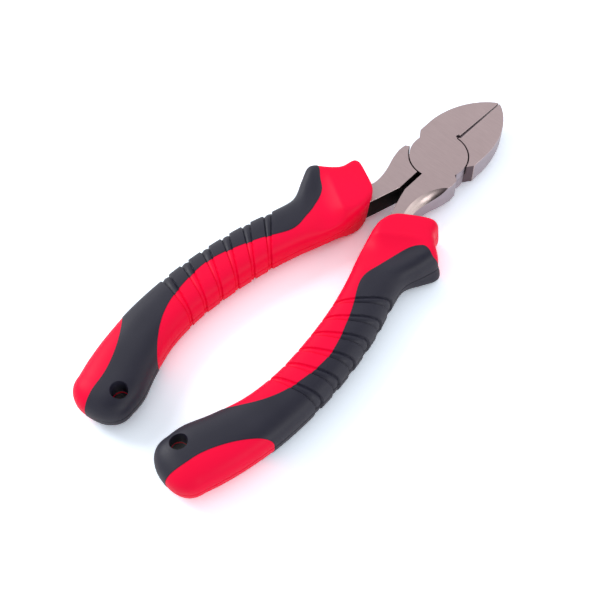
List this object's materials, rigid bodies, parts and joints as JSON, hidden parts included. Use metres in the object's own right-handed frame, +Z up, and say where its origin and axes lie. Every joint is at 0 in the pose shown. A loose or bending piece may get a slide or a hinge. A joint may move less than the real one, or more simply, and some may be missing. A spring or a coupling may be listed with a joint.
{
  "type": "side_cutters",
  "caption": "Side cutters with lapped steel jaws on a flush rivet and curved two-colour moulded grips with fanned finger grooves and hanging holes",
  "frame": {"origin": "On the pivot axis, in the lower ground face of the joint", "axes": "+Z up out of the upper face of the joint, +Y from the pivot to the nose of the jaws, +X to the right"},
  "size_m": [0.0598, 0.1622, 0.0132],
  "materials": {
    "steel": "satin ground",
    "red_plastic": "fine satin moulding",
    "black_rubber": "matte soft touch"
  },
  "bodies": {
    "right_half": {"upper_lever": "steel", "right_grip_sleeve": "red_plastic", "right_grip_cover": "black_rubber", "pivot_rivet": "steel"},
    "left_half": {"lower_lever": "steel", "left_grip_sleeve": "red_plastic", "left_grip_cover": "black_rubber"}
  },
  "joints": [
    {"name": "pivot", "type": "hinge", "parent": "right_half", "child": "left_half", "pos_m": [0, 0, 0.0037], "axis": [0, 0, -1], "range_deg": [0, 28]}
  ]
}
